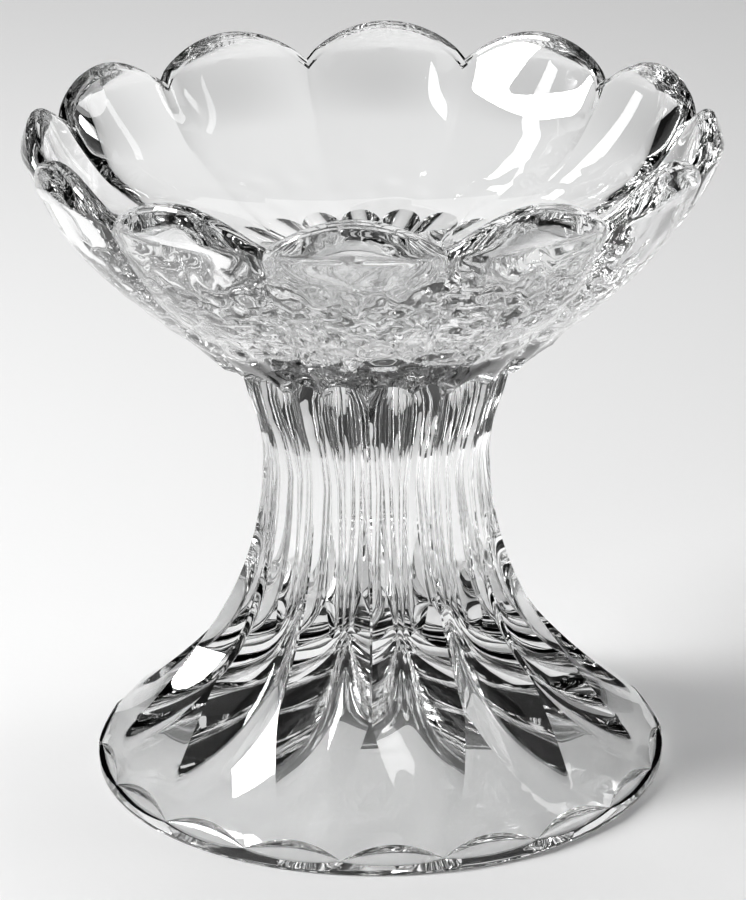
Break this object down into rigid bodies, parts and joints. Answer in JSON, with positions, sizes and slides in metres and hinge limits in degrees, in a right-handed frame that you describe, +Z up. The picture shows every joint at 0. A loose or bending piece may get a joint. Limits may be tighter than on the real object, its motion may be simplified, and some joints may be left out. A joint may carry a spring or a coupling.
{
  "type": "candlestick",
  "caption": "Footed candlestick of clear cut glass: lobed bowl round a candle socket, grooved stem and a flared foot that is hollow below.",
  "frame": {"origin": "centre of the plane that the foot stands on", "axes": "+Z up along the axis of the stem, -Y towards the middle of one lobe of the bowl"},
  "size_m": [0.184, 0.184, 0.1835],
  "materials": {
    "clear_glass": "clear colourless glass, fire-polished outside and inside, with polished mitre cuts on the stem and foot"
  },
  "bodies": {
    "root": {"glass_body": "clear_glass"}
  },
  "joints": []
}
